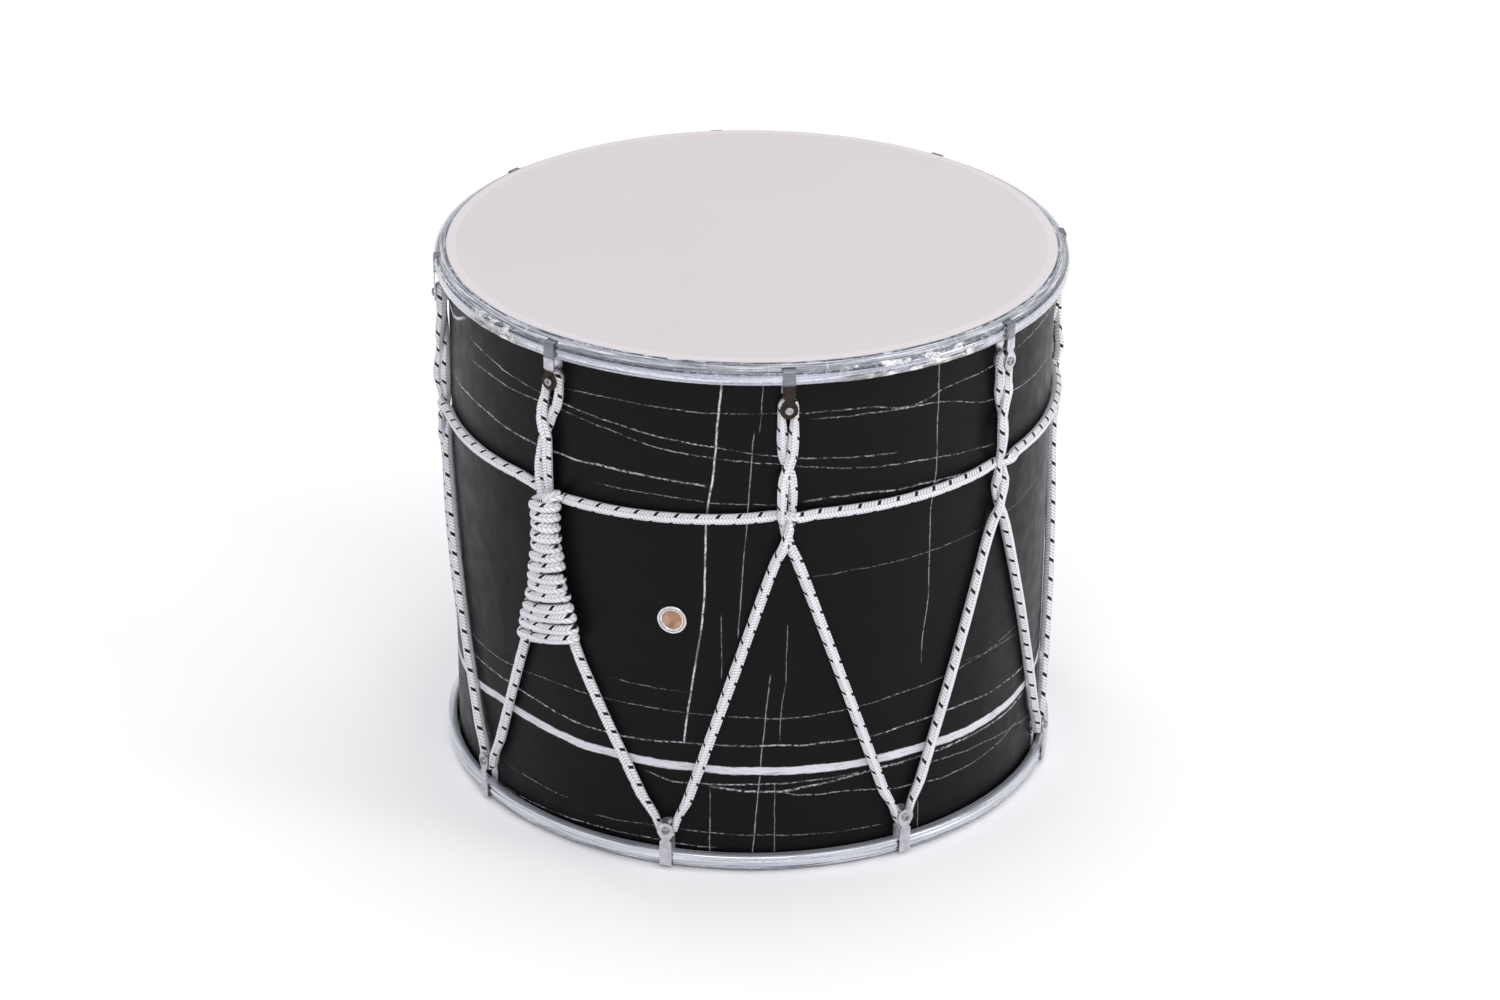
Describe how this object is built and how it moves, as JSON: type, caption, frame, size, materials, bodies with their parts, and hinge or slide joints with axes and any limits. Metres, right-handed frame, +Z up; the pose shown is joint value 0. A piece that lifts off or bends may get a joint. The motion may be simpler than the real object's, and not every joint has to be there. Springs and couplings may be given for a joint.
{
  "type": "bass drum",
  "caption": "Free-standing rope-tensioned cylindrical bass drum with two film heads, steel hoops, tension hooks and twisted rope lacing.",
  "frame": {"origin": "middle of the lower head's outside face, on the surface the drum stands on", "axes": "+Z up along the drum's axis, -Y towards the front tension hook, +X to the right of it"},
  "size_m": [0.3738, 0.3738, 0.316],
  "materials": {
    "shell_wood": "bare plywood, tan",
    "laminate": "satin near-black with fine white marble veins",
    "head_film": "matte coated film, warm light grey",
    "clear_film": "thin crinkled clear plastic film",
    "galvanised_steel": "galvanised, rolled, fine long scratches",
    "plated_steel": "zinc plated, satin",
    "rope": "fine braid, lilac white with black tracer flecks",
    "nickel": "bright nickel plate",
    "roller_steel": "turned steel tube"
  },
  "bodies": {
    "drum": {"shell": "shell_wood", "shell_laminate": "laminate", "top_reinforcement_ring": "shell_wood", "bottom_reinforcement_ring": "shell_wood", "batter_head": "head_film", "resonant_head": "head_film", "top_hoop": "galvanised_steel", "top_flesh_ring": "galvanised_steel", "top_hook_1": "plated_steel", "top_hook_2": "plated_steel", "top_hook_3": "plated_steel", "top_hook_4": "plated_steel", "top_hook_5": "plated_steel", "top_hook_6": "plated_steel", "top_hook_7": "plated_steel", "top_hook_8": "plated_steel", "top_hook_screws": "plated_steel", "bottom_hoop": "galvanised_steel", "bottom_flesh_ring": "galvanised_steel", "bottom_hook_1": "plated_steel", "bottom_hook_2": "plated_steel", "bottom_hook_3": "plated_steel", "bottom_hook_4": "plated_steel", "bottom_hook_5": "plated_steel", "bottom_hook_6": "plated_steel", "bottom_hook_7": "plated_steel", "bottom_hook_8": "plated_steel", "bottom_hook_screws": "plated_steel", "top_hoop_film": "clear_film", "lacing_rope": "rope", "waist_rope": "rope", "rope_tail_wrap": "rope", "vent_eyelet": "nickel", "vent_eyelet_washer": "nickel"},
    "top_roller_1": {"top_roller_1": "roller_steel"},
    "top_roller_2": {"top_roller_2": "roller_steel"},
    "top_roller_3": {"top_roller_3": "roller_steel"},
    "top_roller_4": {"top_roller_4": "roller_steel"},
    "top_roller_5": {"top_roller_5": "roller_steel"},
    "top_roller_6": {"top_roller_6": "roller_steel"},
    "top_roller_7": {"top_roller_7": "roller_steel"},
    "top_roller_8": {"top_roller_8": "roller_steel"},
    "bottom_roller_1": {"bottom_roller_1": "roller_steel"},
    "bottom_roller_2": {"bottom_roller_2": "roller_steel"},
    "bottom_roller_3": {"bottom_roller_3": "roller_steel"},
    "bottom_roller_4": {"bottom_roller_4": "roller_steel"},
    "bottom_roller_5": {"bottom_roller_5": "roller_steel"},
    "bottom_roller_6": {"bottom_roller_6": "roller_steel"},
    "bottom_roller_7": {"bottom_roller_7": "roller_steel"},
    "bottom_roller_8": {"bottom_roller_8": "roller_steel"}
  },
  "joints": [
    {"name": "top_roller_1_spin", "type": "hinge", "parent": "drum", "child": "top_roller_1", "pos_m": [-0.00157, -0.17989, 0.2905], "axis": [-0.0087, -1, 0], "continuous": true},
    {"name": "top_roller_2_spin", "type": "hinge", "parent": "drum", "child": "top_roller_2", "pos_m": [0.12609, -0.12831, 0.2905], "axis": [0.7009, -0.7133, 0], "continuous": true},
    {"name": "top_roller_3_spin", "type": "hinge", "parent": "drum", "child": "top_roller_3", "pos_m": [0.1799, 0, 0.2905], "axis": [1, 0, 0], "continuous": true},
    {"name": "top_roller_4_spin", "type": "hinge", "parent": "drum", "child": "top_roller_4", "pos_m": [0.12721, 0.12721, 0.2905], "axis": [0.7071, 0.7071, 0], "continuous": true},
    {"name": "top_roller_5_spin", "type": "hinge", "parent": "drum", "child": "top_roller_5", "pos_m": [0, 0.1799, 0.2905], "axis": [0, 1, 0], "continuous": true},
    {"name": "top_roller_6_spin", "type": "hinge", "parent": "drum", "child": "top_roller_6", "pos_m": [-0.12721, 0.12721, 0.2905], "axis": [-0.7071, 0.7071, 0], "continuous": true},
    {"name": "top_roller_7_spin", "type": "hinge", "parent": "drum", "child": "top_roller_7", "pos_m": [-0.1799, 0, 0.2905], "axis": [-1, 0, 0], "continuous": true},
    {"name": "top_roller_8_spin", "type": "hinge", "parent": "drum", "child": "top_roller_8", "pos_m": [-0.12497, -0.12941, 0.2905], "axis": [-0.6947, -0.7193, 0], "continuous": true},
    {"name": "bottom_roller_1_spin", "type": "hinge", "parent": "drum", "child": "bottom_roller_1", "pos_m": [0.06884, -0.16621, 0.0255], "axis": [0.3827, -0.9239, 0], "continuous": true},
    {"name": "bottom_roller_2_spin", "type": "hinge", "parent": "drum", "child": "bottom_roller_2", "pos_m": [0.16621, -0.06884, 0.0255], "axis": [0.9239, -0.3827, 0], "continuous": true},
    {"name": "bottom_roller_3_spin", "type": "hinge", "parent": "drum", "child": "bottom_roller_3", "pos_m": [0.16621, 0.06884, 0.0255], "axis": [0.9239, 0.3827, 0], "continuous": true},
    {"name": "bottom_roller_4_spin", "type": "hinge", "parent": "drum", "child": "bottom_roller_4", "pos_m": [0.06884, 0.16621, 0.0255], "axis": [0.3827, 0.9239, 0], "continuous": true},
    {"name": "bottom_roller_5_spin", "type": "hinge", "parent": "drum", "child": "bottom_roller_5", "pos_m": [-0.06884, 0.16621, 0.0255], "axis": [-0.3827, 0.9239, 0], "continuous": true},
    {"name": "bottom_roller_6_spin", "type": "hinge", "parent": "drum", "child": "bottom_roller_6", "pos_m": [-0.16621, 0.06884, 0.0255], "axis": [-0.9239, 0.3827, 0], "continuous": true},
    {"name": "bottom_roller_7_spin", "type": "hinge", "parent": "drum", "child": "bottom_roller_7", "pos_m": [-0.16238, -0.07745, 0.0255], "axis": [-0.9026, -0.4305, 0], "continuous": true},
    {"name": "bottom_roller_8_spin", "type": "hinge", "parent": "drum", "child": "bottom_roller_8", "pos_m": [-0.06652, -0.16715, 0.0255], "axis": [-0.3697, -0.9291, 0], "continuous": true}
  ]
}
